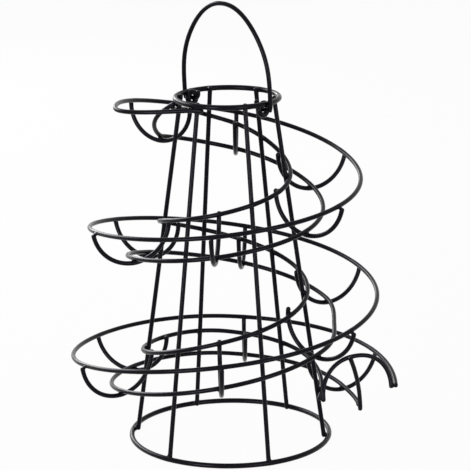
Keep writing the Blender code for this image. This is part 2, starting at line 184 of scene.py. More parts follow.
class CradleSizes(bpy.types.PropertyGroup):
    """The U shaped wires that carry the chute."""

    in_bay: share("Place in bay", "Even place between two rods, as a share of the bay", 0.45)
    offsets: row(
        "Offsets", "How far down the chute each cradle is off its even place, in degrees",
        1, 0, -2, 2, 2, 3, 2, 2, 0, 4, -1, 1, -1, 2, 0,
    )
    turns: row(
        "Turns", "How far each cradle is turned about the upright, in degrees",
        6, 4, 2, 0, 2, 0, 4, 2, 8, 2, 6, 10, 10, 8, 6,
    )
    tip_past_inner_rail: length("Inner tip", "How far a cradle's tip passes the inner rail", 0.0022)
    tip_short_of_outer_rail: length("Outer tip", "How far the other tip stops short", 0.0004)
    long_tip_past_inner_rail: length("Long tip", "How far the one long tip passes the rail", 0.0068)
    long_tip_cradle: IntProperty(name="Long tip on", description="Its cradle, from 0", default=9)


class StopSizes(bpy.types.PropertyGroup):
    """The arch and the bar at the outlet."""

    arch_height: length("Arch height", "Rise of the arch over its feet", 0.035)
    arch_lean: angle("Arch lean", "Lean of the arch back up the chute", 16.0)
    arch_roundness: share("Arch roundness", "2 is an ellipse, and more is squarer", 2.2)
    bar_on_arch_angle: angle("Bar on arch", "Where on the arch the bar is welded", 98.0)
    bar_bow: length("Bar bow", "How far the bar is bowed", 0.0028)
    bar_past_arch: length("Bar top", "How far the bar passes the arch", 0.003)
    bar_past_keel: length("Bar foot", "How far the bar passes the keel", 0.006)


class HandleSizes(bpy.types.PropertyGroup):
    """The bail and its two eyelets."""

    in_bay: share("Place in bay", "Place of the hinge's end between two rods", 0.547)
    eyelet_radius: length("Eyelet radius", "Radius of an eyelet's wire line", 0.0055)
    bail_height: length("Bail height", "Height of the bail over its hinge", 0.0939)
    bail_roundness: share("Bail roundness", "2 is an ellipse, and more is squarer", 2.11)
    bail_bulge: length("Bail bulge", "How far the legs bow outwards", 0.0026)
    bail_lean: angle("Bail lean", "How far the bail leans at rest", 3.4)
    hook_bend_radius: length("Hook bend", "Radius of the bend into the eyelet", 0.005)
    hook_tip_length: length("Hook tip", "Straight length of the hook's tip", 0.003)


class CoatLook(bpy.types.PropertyGroup):
    """Colours and texture of the powder coat, and the form of welds and cut ends."""

    colour: tint("Coat", "Colour of the powder coat", 0.0022, 0.0020, 0.0032)
    # The lighter colour of faces that look up is partly settled dust and partly a painted sheen of
    # the light from above
    dust_and_sheen_colour: tint(
        "Dust and sheen", "Colour of the faint bloom on surfaces that face up", 0.0045, 0.0042, 0.0062
    )
    roughness: share("Roughness", "Mean roughness of the coat", 0.21)
    roughness_spread: share("Roughness spread", "How far the roughness varies along a wire", 0.06)
    peel_size: length("Peel size", "Width of one dimple of the coat's orange peel", 0.0011)
    peel_height: length("Peel height", "Height of the orange peel", 0.00003)
    ior: share("Index", "Refractive index of the coat", 1.2)
    facing_tint: tint(
        "Facing tint", "Tint of what the coat reflects where it is seen head on", 0.86, 0.80, 1.0
    )
    thickness: length("Thickness", "How thick the coat lies on the wires", 0.00012)
    top_ring_thickness: length("On the top ring", "How thick it lies on the top ring", 0.0005)
    base_ring_thickness: length("On the base ring", "How thick it lies on the base ring", 0.0004)
    eyelet_thickness: length("On the eyelets", "How thick it lies on the eyelets", 0.0006)
    end_rounding: length("End rounding", "Radius of the coat over a cut end's edge", 0.0018)
    weld_reach: length("Weld reach", "How far a weld's fillet reaches along a wire", 0.0030)
    foot_weld_reach: length("Foot weld reach", "How far it reaches on the base ring", 0.0042)
    weld_swell: length("Weld swell", "How much thicker the coat is beside a weld", 0.00012)
    weld_swell_reach: length("Swell reach", "How far from a weld the coat is thicker", 0.0045)


class StudioLook(bpy.types.PropertyGroup):
    """The floor, the lamps and the camera of the studio."""

    floor_colour: tint("Floor", "Colour of the floor", 0.66, 0.66, 0.66)
    floor_size: length("Floor size", "Width of the floor", 14.0)
    floor_white: share("Floor white", "How much of the floor's picture is plain white", 0.96)
    ambient: share("Ambient", "Strength of the even light from all round", 0.15)
    key_power: power("Key", "Power of the lamp high behind the left", 44.0)
    back_power: power("Back", "Power of the lamp behind", 12.0)
    front_power: power("Front", "Power of the lamp in front at the left", 20.0)
    fill_power: power("Fill", "Power of the lamp in front at the right", 11.0)
    focal_length: FloatProperty(
        name="Focal length", description="Focal length of the lens", default=182.6,
        subtype="DISTANCE_CAMERA",
    )
    camera_place: FloatVectorProperty(
        name="Camera", description="Place of the camera from the middle of the base ring",
        subtype="XYZ", unit="LENGTH", default=(0.0060, -2.1638, 0.7597), size=3, precision=4,
    )
    camera_pitch: angle("Pitch", "How far the camera looks down", 14.608)
    camera_roll: angle("Roll", "How far the camera leans to the right", 0.543)


QUARTER_TURN = 90.0

# Fineness of the meshes
WIRE_SIDES = 16
RAIL_STEP_ANGLE = 2.0
NOSE_STEPS = 36
CURL_STEPS = 48
CRADLE_STEPS = 56
ARCH_STEPS = 60
BAR_STEPS = 30
BAIL_STEPS = 150
HOOK_STEPS = 12
ROD_STEPS = 120
RING_STEPS = 160
EYELET_STEPS = 48
END_STEPS = 4
WELD_SIDES = 28
WELD_STEPS = 8

# Distance between the points that welds are sought at, and below which corners are joined.
# A tangent is taken over SHORT_TURN radians or SHORT_TRAVEL degrees, and a line is upright
# where its unit tangent rises by STEEP or more.
WELD_SAMPLE = 0.001
SAME_PLACE = 0.000005
SHORT_TURN = 0.01
SHORT_TRAVEL = 0.5
STEEP = 0.9

# Welds: a wire butts another where the sine of its angle to the line between them is below
# BUTT_SINE, and two welds of a pair lie WELDS_APART pitches apart. The rest are shares of an
# end's rounding, a wire's radius or a weld's reach.
BUTT_SINE = 0.75
WELDS_APART = 3
END_KEEP = 0.3
WELD_WRAP = 0.88
RIM_SINK = 0.01
RIM_STEP = 0.02
NECK_PULL = 0.8
NO_LENGTH = 1e-9

# Texture of the coat: sizes in dimples of its orange peel, then how much of each shows
GRIT_SIZE = 0.25
FLOW_SIZE = 14
PATCH_SIZE = 40
GRIT_HEIGHT = 0.35
FLOW_HEIGHT = 0.6
# Faces that look up are lighter: partly settled dust, partly a painted sheen of the light from
# above; the specks are dust
DUST_AND_SHEEN_EDGE = 0.1
DUST_AND_SHEEN_RAMP = 0.9
LEAST_DUST_AND_SHEEN = 0.35
PATCH_DUST_AND_SHEEN = 0.9
SPECK_EDGE = 0.66
SPECK_RAMP = 0.08
SPECK_DUST_AND_SHEEN = 0.35

# Place and size of each lamp, and the height that they face
LAMPS = {
    "key": ((-1.6, 1.1, 1.3), (1.6, 1.0)),
    "back": ((-0.9, 1.9, 0.8), (0.8, 0.8)),
    "front": ((-1.1, -1.8, 0.45), (0.8, 0.8)),
    "fill": ((1.1, -1.8, 0.45), (0.8, 0.8)),
}
LIT_HEIGHT = 0.2

RUBBED_WIRES = ("top_ring", "handle_eyelet_1", "handle_eyelet_2")
CLOSED_WIRES = ("base_ring", *RUBBED_WIRES)
WHITE = (1.0, 1.0, 1.0, 1.0)


def even(end, count):
    """Values at even steps from 0 to an end, with both."""
    return [end * k / count for k in range(count + 1)]


def smooth_step(x):
    """Ease from 0 to 1 with level ends."""
    x = min(max(x, 0.0), 1.0)
    return x * x * (3 - 2 * x)


def rounded(turn, roundness):
    """A point of half a unit circle, made squarer by a roundness above 2."""
    side = math.copysign(abs(math.cos(turn)) ** (2 / roundness), math.cos(turn))
    return side, abs(math.sin(turn)) ** (2 / roundness)


def around(travel, radius, height):
    """The point at a travel angle, a distance from the tower's axis and a height."""
    azimuth = math.radians(180.0 - travel)
    return Vector((radius * math.cos(azimuth), radius * math.sin(azimuth), height))


def outward(travel):
    """The level unit vector that points away from the tower at a travel angle."""
    return around(travel, 1.0, 0.0)


def along(travel):
    """The level unit vector that points the way the eggs roll."""
    return outward(travel + QUARTER_TURN)


def bezier(a, b, c, d, steps):
    """Points along a Bezier curve from a to d, which b and c pull aside."""
    points = []
    for t in even(1, steps):
        u = 1 - t
        points.append(a * u**3 + b * 3 * t * u**2 + c * 3 * t**2 * u + d * t**3)
    return points


def eased(start, leave, end, arrive, t):
    """Between two ends, on a curve that leaves the one and reaches the other as given."""
    ease = t**2 * (3 - 2 * t)
    return start * (1 - ease) + end * ease + leave * (t**3 - 2 * t**2 + t) + arrive * (t**3 - t**2)


def circle_through(a, b, c):
    """Centre of the circle through three points."""
    u = b - a
    v = c - a
    normal = u.cross(v)
    reach = normal.cross(u) * v.length_squared + v.cross(normal) * u.length_squared
    return a + reach / (2 * normal.length_squared)


class Tower:
    """The rings and rods, about the tower's axis."""

    def __init__(self, sizes, base_height):
        self.sizes = sizes
        self.base_height = base_height
        self.top_height = base_height + sizes.tower_rise
        self.pitch = sizes.wire_diameter + sizes.weld_gap
        slope = (sizes.base_ring_radius - sizes.top_ring_radius) / sizes.tower_rise
        self.level_pitch = self.pitch / math.cos(math.atan(slope))
        self.bay = 360.0 / sizes.rod_count

    def rod_radius(self, height):
        s = self.sizes
        part = (height - self.base_height) / s.tower_rise
        widening = (s.top_ring_radius - s.base_ring_radius) * part
        return s.base_ring_radius + widening - self.level_pitch

    def rod_angle(self, index):
        return self.sizes.first_rod_angle + self.bay * index

    def rod_point(self, index, height):
        """A rod's line at a height: its foot may be turned away from below its top."""
        below_top = (self.top_height - height) / self.sizes.tower_rise
        turned = self.rod_angle(index) + self.sizes.rod_foot_turns[index] * below_top
        return around(turned, self.rod_radius(height), height)

    def rod_points(self, index):
        foot = self.rod_point(index, self.base_height - self.sizes.rod_foot_past_ring)
        tip = self.rod_point(index, self.top_height + self.sizes.rod_top_past_ring)
        return [foot.lerp(tip, t) for t in even(1, ROD_STEPS)]

    def ring_points(self, radius, height):
        return [around(turn, radius, height) for turn in even(360.0, RING_STEPS)[:-1]]


class Section:
    """The places of the chute's three wires at a travel angle."""

    def __init__(self, chute, travel):
        width = chute.blend(travel, "width")
        bank = chute.blend(travel, "bank")
        middle = chute.height(travel)
        inner_height = middle + bank / 2
        inner_radius = chute.tower.rod_radius(inner_height) + chute.tower.level_pitch
        tilt = math.atan2(bank, width)
        down = -outward(travel) * math.sin(tilt) - Vector((0, 0, math.cos(tilt)))
        lift = chute.bend(travel, "outer_rail_lift")
        bulge = chute.bend(travel, "outer_rail_bulge")
        even_outer = around(travel, inner_radius + width, middle - bank / 2)
        self.inner = around(travel, inner_radius, inner_height)
        self.outer = even_outer + outward(travel) * bulge + Vector((0, 0, lift))
        self.keel = (self.inner + even_outer) / 2 + down * chute.sizes.keel_depth


class Chute:
    """The rails, the keel and their cradles, about the tower's axis."""

    def __init__(self, sizes, cradle_sizes, tower):
        self.sizes = sizes
        self.cradle_sizes = cradle_sizes
        self.tower = tower
        slopes = list(sizes.quarter_turn_slopes)
        self.quarters = len(slopes)
        start = tower.top_height - sizes.start_below_top_ring
        unit = (start - tower.base_height - sizes.outlet_above_base_ring) / sum(slopes)
        self.stations = [start]
        for slope in slopes:
            self.stations.append(self.stations[-1] - unit * slope)
        inner = range(1, self.quarters)
        self.slopes = [0.0]
        self.slopes += [(self.stations[i + 1] - self.stations[i - 1]) / 2 for i in inner]
        self.slopes += [-sizes.outlet_slope * unit]
        self.travel = QUARTER_TURN * self.quarters
        rods = math.ceil(self.travel / tower.bay) + 1
        ends = self.travel + tower.bay / 2
        last_rod = max(tower.rod_angle(i) for i in range(rods) if tower.rod_angle(i) < ends)
        self.inner_end = last_rod + sizes.inner_rail_past_last_rod

    def height(self, travel):
        """Height midway between the rails: level before the start, then a smooth curve."""
        turn = travel / QUARTER_TURN
        if turn <= 0.0:
            return self.stations[0]
        if turn >= self.quarters:
            return self.stations[-1] + (turn - self.quarters) * self.slopes[-1]
        i = int(turn)
        start, end = zip(self.stations[i:i + 2], self.slopes[i:i + 2])
        return eased(*start, *end, turn - i)

    def blend(self, travel, name):
        """A size that changes over the first stretch of the chute and over the last one."""
        s = self.sizes
        at_start = getattr(s, name + "_at_start")
        between = getattr(s, name)
        at_outlet = getattr(s, name + "_at_outlet")
        opening = smooth_step(travel / s.start_blend_angle)
        closing = smooth_step((travel - self.travel) / s.outlet_blend_angle + 1.0)
        return at_start + (between - at_start) * opening + (at_outlet - between) * closing

    def bend(self, travel, name):
        """A bend by hand: its full size at one angle, fading to nothing on both sides."""
        s = self.sizes
        off = abs(travel - getattr(s, name + "_angle")) / getattr(s, name + "_reach")
        return getattr(s, name) * smooth_step(1.0 - off)

    def section(self, travel):
        return Section(self, travel)

    def travels(self, start, end):
        steps = math.ceil((end - start) / RAIL_STEP_ANGLE)
        return [start + travel for travel in even(end - start, steps)]

    def nose_points(self):
        """The bend from the outer rail round the chute's start to the last rod, under the ring."""
        s = self.sizes
        tower = self.tower
        rod = tower.rod_point(-1, tower.top_height - tower.pitch)
        run = -along(tower.rod_angle(-1) - s.nose_end_turn)
        seat = rod + Vector((run.y, -run.x, 0)) * tower.level_pitch
        rail = self.section(s.rail_start_angle).outer
        p1 = rail - along(s.rail_start_angle) * s.nose_reach - Vector((0, 0, s.nose_dip))
        p2 = seat - run * s.nose_end_reach
        return bezier(rail, p1, p2, seat, NOSE_STEPS)[1:] + [seat + run * s.nose_past_rod]

    def outer_rail_points(self):
        """The outer rail from the outlet up to the start, and the nose after it."""
        s = self.sizes
        travels = self.travels(s.rail_start_angle, s.outer_rail_end_angle)
        return [self.section(a).outer for a in reversed(travels)] + self.nose_points()

    def inner_rail_points(self):
        travels = self.travels(self.sizes.rail_start_angle, self.inner_end)
        return [self.section(a).inner for a in travels]

    def keel_place(self, travel):
        """The keel, which is bent in and down at places and leaves the middle at its end."""
        s = self.sizes
        near_end = 1.0 - abs(travel - s.keel_end_angle) / s.keel_drift_reach
        drift = s.keel_end_drift * smooth_step(near_end)
        aside = outward(travel) * (drift - self.bend(travel, "keel_dent"))
        return self.section(travel).keel + aside - Vector((0, 0, self.bend(travel, "keel_sag")))

    def keel_points(self):
        """The keel, with its upper end curled up to the outside of the first rod."""
        s = self.sizes
        tower = self.tower
        begin = self.cradle_angle(0) + s.curl_past_first_cradle
        low = self.section(begin).keel
        low_tangent = (low - self.section(begin + SHORT_TRAVEL).keel).normalized()
        tip_height = tower.top_height - s.curl_tip_below_top_ring
        rod = tower.rod_angle(0)
        tip = around(rod, tower.rod_radius(tip_height) + tower.level_pitch, tip_height)
        slope = math.radians(s.curl_upper_slope)
        tip_tangent = outward(rod) * math.cos(slope) - Vector((0, 0, math.sin(slope)))
        p1 = low + low_tangent * s.curl_lower_reach
        p2 = tip + tip_tangent * s.curl_upper_reach
        keel = [self.keel_place(a) for a in self.travels(begin, s.keel_end_angle)]
        return bezier(tip, p2, p1, low, CURL_STEPS)[:-1] + keel

    def cradle_angle(self, index):
        s = self.cradle_sizes
        return self.tower.rod_angle(index + s.in_bay) + s.offsets[index]

    def cradle_points(self, index):
        """A U that carries the three wires on its inside, one tip above the inner rail."""
        s = self.cradle_sizes
        travel = self.cradle_angle(index)
        section = self.section(travel)
        turned = math.radians(s.turns[index])
        lead = (section.outer - section.inner).length / 2 * math.sin(turned)
        inner = self.section(travel + math.degrees(lead / section.inner.xy.length)).inner
        outer = self.section(travel - math.degrees(lead / section.outer.xy.length)).outer
        keel = self.keel_place(travel)
        centre = circle_through(inner, keel, outer)
        down = (keel - centre).normalized()
        across = ((outer - inner) - down * (outer - inner).dot(down)).normalized()
        radius = (keel - centre).length + self.tower.pitch
        long_tip = index == s.long_tip_cradle
        tip = s.long_tip_past_inner_rail if long_tip else s.tip_past_inner_rail
        start = -(inner - centre).angle(down) - tip / radius
        end = (outer - centre).angle(down) - s.tip_short_of_outer_rail / radius
        turns = [start + turn for turn in even(end - start, CRADLE_STEPS)]
        return [centre + (down * math.cos(t) + across * math.sin(t)) * radius for t in turns]


class EggStop:
    """The arch over the outlet, and the bar between the arch and the keel's end."""

    def __init__(self, sizes, chute):
        self.sizes = sizes
        self.chute = chute
        pitch = chute.tower.pitch
        outer_end = chute.sizes.outer_rail_end_angle
        outer_foot = chute.section(outer_end).outer - outward(outer_end) * pitch
        inner_foot = chute.section(chute.inner_end).inner + outward(chute.inner_end) * pitch
        self.middle = (outer_foot + inner_foot) / 2
        self.half = (outer_foot - inner_foot) / 2
        upstream = Vector((0, 0, 1)).cross(self.half).normalized()
        lean = math.radians(sizes.arch_lean)
        self.rise = Vector((0, 0, math.cos(lean))) + upstream * math.sin(lean)

    def arch_point(self, turn):
        side, rise = rounded(turn, self.sizes.arch_roundness)
        return self.middle + self.half * side + self.rise * (self.sizes.arch_height * rise)

    def arch_points(self):
        foot = self.rise * (-self.chute.tower.sizes.wire_diameter / 2)
        arc = [self.arch_point(turn) for turn in even(math.pi, ARCH_STEPS)]
        return [arc[0] + foot] + arc + [arc[-1] + foot]

    def bar_points(self):
        """From above the arch, in front of it, to below the keel, in front of its end."""
        s = self.sizes
        tower = self.chute.tower
        end = self.chute.sizes.keel_end_angle
        keel_end = self.chute.keel_place(end)
        keel_run = (keel_end - self.chute.keel_place(end - SHORT_TRAVEL)).normalized()
        radius = tower.sizes.wire_diameter / 2
        past = radius * -keel_run.z + radius + tower.sizes.weld_gap
        at_keel = keel_end + along(end) * past
        turn = math.radians(s.bar_on_arch_angle)
        crossing = self.arch_point(turn)
        arch_run = (self.arch_point(turn - SHORT_TURN) - crossing).normalized()
        front = arch_run.cross(crossing - at_keel).normalized()
        on_arch = crossing + front * tower.pitch
        run = (at_keel - on_arch).normalized()
        top = on_arch - run * s.bar_past_arch
        foot = at_keel + run * s.bar_past_keel
        side = front.cross(run) * (4 * s.bar_bow)
        return [top.lerp(foot, t) + side * (t * (1 - t)) for t in even(1, BAR_STEPS)]


class Handle:
    """The bail and its eyelets, about the tower's axis."""

    def __init__(self, sizes, tower):
        self.sizes = sizes
        self.tower = tower
        self.travel = tower.rod_angle(sizes.in_bay)
        self.middle = Vector((0, 0, tower.top_height - sizes.eyelet_radius))
        self.axis = outward(self.travel)

    def eyelet_points(self, side):
        inside_ring = self.tower.sizes.top_ring_radius - self.tower.pitch
        centre = self.middle + self.axis * (side * inside_ring)
        radius = self.sizes.eyelet_radius
        up = Vector((0, 0, radius))
        level = along(self.travel) * radius
        turns = even(math.tau, EYELET_STEPS)[:-1]
        return [centre + up * math.cos(t) + level * math.sin(t) for t in turns]

    def bail_points(self):
        """Hook, arch and hook, leaned about the hinge as it rests."""
        s = self.sizes
        tower = self.tower
        bend = s.hook_bend_radius
        reach = tower.sizes.top_ring_radius + tower.pitch
        inner = tower.sizes.top_ring_radius - tower.pitch - s.hook_tip_length - bend
        hook = [Vector((inner, 0, bend + s.hook_tip_length))]
        for turn in even(math.pi / 2, HOOK_STEPS):
            x = inner + bend * (1 - math.cos(turn))
            hook.append(Vector((x, 0, bend * (1 - math.sin(turn)))))
        arch = []
        for turn in even(math.pi, BAIL_STEPS):
            side, rise = rounded(turn, s.bail_roundness)
            x = side * (reach + s.bail_bulge * math.sin(math.pi * rise) ** 2)
            arch.append(Vector((x, 0, rise * s.bail_height)))
        flat = hook + arch + [Vector((-p.x, p.y, p.z)) for p in reversed(hook)]
        lean = Matrix.Rotation(-math.radians(s.bail_lean), 4, self.axis)
        turn = Matrix.Rotation(math.radians(180.0 - self.travel), 4, "Z")
        place = Matrix.Translation(self.middle) @ lean @ turn
        return [place @ p for p in flat]


def rack_plan(scene):
    """The tower, chute, egg stop and handle of a scene's sizes, and where the tower stands."""
    low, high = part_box("base_ring")
    stand = Vector(((low.x + high.x) / 2, (low.y + high.y) / 2, 0.0))
    tower = Tower(scene.rack_tower, (low.z + high.z) / 2)
    chute = Chute(scene.rack_chute, scene.rack_cradles, tower)
    return tower, chute, EggStop(scene.rack_stop, chute), Handle(scene.rack_handle, tower), stand


def fixed_wires(scene):
    """The line of each fixed wire, as points in the frame, under the wire's name."""
    tower, chute, stop, handle, stand = rack_plan(scene)
    resting = coated_radius(scene, "base_ring") + scene.rack_coat.weld_swell
    wires = {
        "base_ring": tower.ring_points(tower.sizes.base_ring_radius, resting),
        "top_ring": tower.ring_points(tower.sizes.top_ring_radius, tower.top_height),
        "outer_rail": chute.outer_rail_points(),
        "inner_rail": chute.inner_rail_points(),
        "keel_wire": chute.keel_points(),
        "stop_arch": stop.arch_points(),
        "stop_bar": stop.bar_points(),
        "handle_eyelet_1": handle.eyelet_points(1),
        "handle_eyelet_2": handle.eyelet_points(-1),
    }
    for index in range(tower.sizes.rod_count):
        wires[f"upright_rod_{index + 1}"] = tower.rod_points(index)
    for index in range(len(chute.cradle_sizes.offsets)):
        wires[f"cradle_{index + 1:02d}"] = chute.cradle_points(index)
    return {name: np.array(points) + np.array(stand) for name, points in wires.items()}


def bail_line(scene):
    """The line of the hanging bail, as points in the frame."""
    _, _, _, handle, stand = rack_plan(scene)
    return np.array(handle.bail_points()) + np.array(stand)


def even_points(points, closed):
    """Points at even steps along a line."""
    if closed:
        points = np.vstack([points, points[:1]])
    steps = np.linalg.norm(np.diff(points, axis=0), axis=1)
    reach = np.concatenate([[0.0], np.cumsum(steps)])
    count = max(2, int(round(reach[-1] / WELD_SAMPLE)))
    at = np.linspace(0.0, reach[-1], count + 1)
    if closed:
        at = at[:-1]
    return np.stack([np.interp(at, reach, points[:, i]) for i in range(3)], axis=1)


def find_welds(scene, wires):
    """Each place where two wires lie a weld's pitch apart, with the room of both there."""
    pitch = scene.rack_tower.wire_diameter + scene.rack_tower.weld_gap
    slack = 2 * scene.rack_tower.weld_gap
    names = list(wires)
    lines = [even_points(wires[n], n in CLOSED_WIRES) for n in names]
    tree = KDTree(sum(len(line) for line in lines))
    owners = []
    for number, line in enumerate(lines):
        for place, point in enumerate(line):
            tree.insert(point, len(owners))
            owners.append((number, place))
    tree.balance()
    close = {}
    for number, line in enumerate(lines):
        for place, point in enumerate(line):
            for _, index, distance in tree.find_range(point, pitch + slack + WELD_SAMPLE / 2):
                other, other_place = owners[index]
                if other > number:
                    close.setdefault((number, other), []).append((distance, place, other_place))
    welds = []
    for pair, spots in close.items():
        taken = []
        for _, *places in sorted(spots):
            point = lines[pair[0]][places[0]]
            if all(np.linalg.norm(point - t) > WELDS_APART * pitch for t in taken):
                taken.append(point)
                owned = [names[n] for n in pair]
                rooms = [
                    end_room(lines[n], place, names[n] in CLOSED_WIRES)
                    for n, place in zip(pair, places)
                ]
                apart = rooms[1][0] - rooms[0][0]
                filled = sum(level_with(apart, room[1]) for room in rooms) * pitch / 2
                if np.linalg.norm(apart) - filled < 2 * slack:
                    welds.append((*owned, *rooms))
    return welds


def level_with(line, run):
    """Sine of the angle between a line and a wire's direction: 0 where the wire runs that way."""
    cosine = np.dot(line, run) / np.linalg.norm(line)
    return math.sqrt(max(1.0 - cosine**2, 0.0))


def end_room(line, index, closed):
    """A point of a line, its direction, and the free length before and after it."""
    last = len(line) - 1
    if closed:
        run = line[(index + 1) % len(line)] - line[index - 1]
        before = after = last * WELD_SAMPLE
    else:
        run = line[min(index + 1, last)] - line[max(index - 1, 0)]
        before = index * WELD_SAMPLE
        after = (last - index) * WELD_SAMPLE
    return line[index], run / np.linalg.norm(run), before, after


def frames_along(points, closed):
    """Unit normals and binormals along a line that don't twist about it."""
    if closed:
        tangents = np.roll(points, -1, axis=0) - np.roll(points, 1, axis=0)
    else:
        tangents = np.gradient(points, axis=0)
    tangents /= np.linalg.norm(tangents, axis=1)[:, None]
    helper = (0.0, 0.0, 1.0) if abs(tangents[0][2]) < STEEP else (1.0, 0.0, 0.0)
    normal = np.cross(tangents[0], helper)
    normals = []
    for tangent in tangents:
        normal = normal - tangent * np.dot(normal, tangent)
        normal /= np.linalg.norm(normal)
        normals.append(normal)
    normals = np.array(normals)
    return tangents, normals, np.cross(tangents, normals)


def tube_faces(rings, sides, closed):
    """Faces between rings of corners, with a flat face over each open end."""
    faces = []
    for ring in range(rings if closed else rings - 1):
        this = ring * sides
        following = (ring + 1) % rings * sides
        for side in range(sides):
            beside = (side + 1) % sides
            faces.append((this + side, this + beside, following + beside, following + side))
    if not closed:
        faces.append(tuple(range(sides - 1, -1, -1)))
        faces.append(tuple(range((rings - 1) * sides, rings * sides)))
    return faces


def swept_wire(points, radii, closed, rounding):
    """Corners and faces of a round wire along a line, its cut ends rounded by the coat."""
    tangents, normals, binormals = frames_along(points, closed)
    if not closed:
        turns = np.array(even(math.pi / 2, END_STEPS))
        inset = rounding * (1 - np.sin(turns))
        shrink = rounding * (1 - np.cos(turns))
        head = points[0] + np.outer(inset, tangents[0])
        tail = points[-1] - np.outer(inset, tangents[-1])
        points = np.vstack([head[::-1], points[1:-1], tail])
        radii = np.concatenate([radii[0] - shrink[::-1], radii[1:-1], radii[-1] - shrink])
        normals, binormals = (
            np.pad(axes, ((END_STEPS, END_STEPS), (0, 0)), "edge") for axes in (normals, binormals)
        )
    turns = np.array(even(math.tau, WIRE_SIDES)[:-1])[None, :, None]
    spokes = normals[:, None, :] * np.cos(turns) + binormals[:, None, :] * np.sin(turns)
    corners = (points[:, None, :] + spokes * radii[:, None, None]).reshape(-1, 3)
    return corners, tube_faces(len(points), WIRE_SIDES, closed)


class Rim:
    """The edge of a weld's neck on one wire, on the side that faces the other wire."""

    def __init__(self, room, toward, radius, rounding):
        self.centre, run, self.before, self.after = room
        self.toward = toward
        self.radius = radius
        self.rounding = rounding
        self.butts = level_with(toward, run) < BUTT_SINE
        run = run - toward * np.dot(run, toward)
        self.run = run / np.linalg.norm(run)
        self.across = np.cross(toward, self.run)

    def point(self, spoke, reach):
        """Where the edge lies in the direction of a spoke, short of the wire's rounded ends."""
        if self.butts:
            return self.centre - self.toward * self.rounding + spoke * self.radius
        keep = self.rounding * END_KEEP
        limits = min(keep - self.before, 0.0), max(self.after - keep, 0.0)
        lengthways = np.clip(reach * np.dot(spoke, self.run), *limits)
        end = min(self.before + lengthways, self.after - lengthways)
        past = max(self.rounding - end, 0.0)
        radius = self.radius - self.rounding + math.sqrt(max(self.rounding**2 - past**2, 0.0))
        widest = WELD_WRAP * radius
        across = np.clip(reach * np.dot(spoke, self.across), -widest, widest)
        rise = math.sqrt(radius**2 - across**2) - self.radius * RIM_SINK
        return self.centre + self.run * lengthways + self.across * across + self.toward * rise

    def pull(self, spoke, reach):
        """How strongly the neck leaves the edge, along the wire's surface."""
        inward = self.point(spoke, reach) - self.point(spoke, reach * (1 + RIM_STEP))
        return inward / max(np.linalg.norm(inward), NO_LENGTH) * (reach * NECK_PULL)


def weld_fillet(weld, radii, reach, rounding):
    """Corners and faces of the concave neck that joins two wires of these radii."""
    rooms = weld[2:]
    toward = rooms[1][0] - rooms[0][0]
    toward = toward / np.linalg.norm(toward)
    low, high = (Rim(*each, rounding) for each in zip(rooms, (toward, -toward), radii))
    steps = np.array(even(1, WELD_STEPS))[:, None]
    columns = []
    for turn in even(math.tau, WELD_SIDES)[:-1]:
        spoke = low.run * math.cos(turn) + low.across * math.sin(turn)
        start = low.point(spoke, reach), low.pull(spoke, reach)
        end = high.point(spoke, reach), -high.pull(spoke, reach)
        columns.append(eased(*start, *end, steps))
    corners = np.stack(columns, axis=1).reshape(-1, 3)
    return corners, tube_faces(WELD_STEPS + 1, WELD_SIDES, False)


def add_piece(name, shells, material, body, node=None):
    """A smooth piece from closed shells, in the place of its node and inside the solids' box."""
    corners = []
    faces = []
    for shell_corners, shell_faces in shells:
        start = len(corners)
        corners.extend(map(tuple, np.clip(shell_corners, *cad_bounds)))
        faces.extend(tuple(start + i for i in face) for face in shell_faces)
    mesh = bpy.data.meshes.new(name)
    mesh.from_pydata(corners, [], faces)
    shape = bmesh.new()
    shape.from_mesh(mesh)
    bmesh.ops.dissolve_degenerate(shape, edges=shape.edges, dist=SAME_PLACE)
    shape.to_mesh(mesh)
    shape.free()
    mesh.validate()
    mesh.shade_smooth()
    mesh.materials.append(material)
    piece = bpy.data.objects.new(name, mesh)
    bpy.context.scene.collection.objects.link(piece)
    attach(piece, body)
    if node:
        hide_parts(node)


def nearest(points, spots):
    """Distance from each point to the nearest of some spots."""
    return np.linalg.norm(points[:, None, :] - spots[None, :, :], axis=2).min(axis=1)


def weld_swell(points, welds, look):
    """How much thicker the coat is at each point of a line, by its distance from the welds."""
    if not welds:
        return np.zeros(len(points))
    spots = np.array([room[0] for weld in welds for room in weld[2:]])
    return look.weld_swell * np.exp(-((nearest(points, spots) / look.weld_swell_reach) ** 2))


def coated_radius(scene, name):
    """Radius of a wire with its coat, by the wire's name."""
    look = scene.rack_coat
    coats = {
        "top_ring": look.top_ring_thickness,
        "base_ring": look.base_ring_thickness,
        "handle_eyelet_1": look.eyelet_thickness,
        "handle_eyelet_2": look.eyelet_thickness,
    }
    return scene.rack_tower.wire_diameter / 2 + coats.get(name, look.thickness)


def clear_of_bail(scene, points):
    """The radius that a wire may have at each of its points beside the hanging bail."""
    bail = even_points(bail_line(scene), False)
    return nearest(points, bail) - coated_radius(scene, "bail_handle")


def make_wires(scene, kind):
    """Build the fixed wires with a word in their names, each in the place of its node."""
    wires = fixed_wires(scene)
    look = scene.rack_coat
    welds = find_welds(scene, wires)
    coat = powder_coat(look)
    for name, points in wires.items():
        if kind not in name:
            continue
        own = [w for w in welds if name in w[:2]]
        radii = coated_radius(scene, name) + weld_swell(points, own, look)
        if name in RUBBED_WIRES:
            radii = np.minimum(radii, clear_of_bail(scene, points))
        shell = swept_wire(points, radii, name in CLOSED_WIRES, look.end_rounding)
        add_piece(name + "_coated", [shell], coat, FIXED_BODY, name)


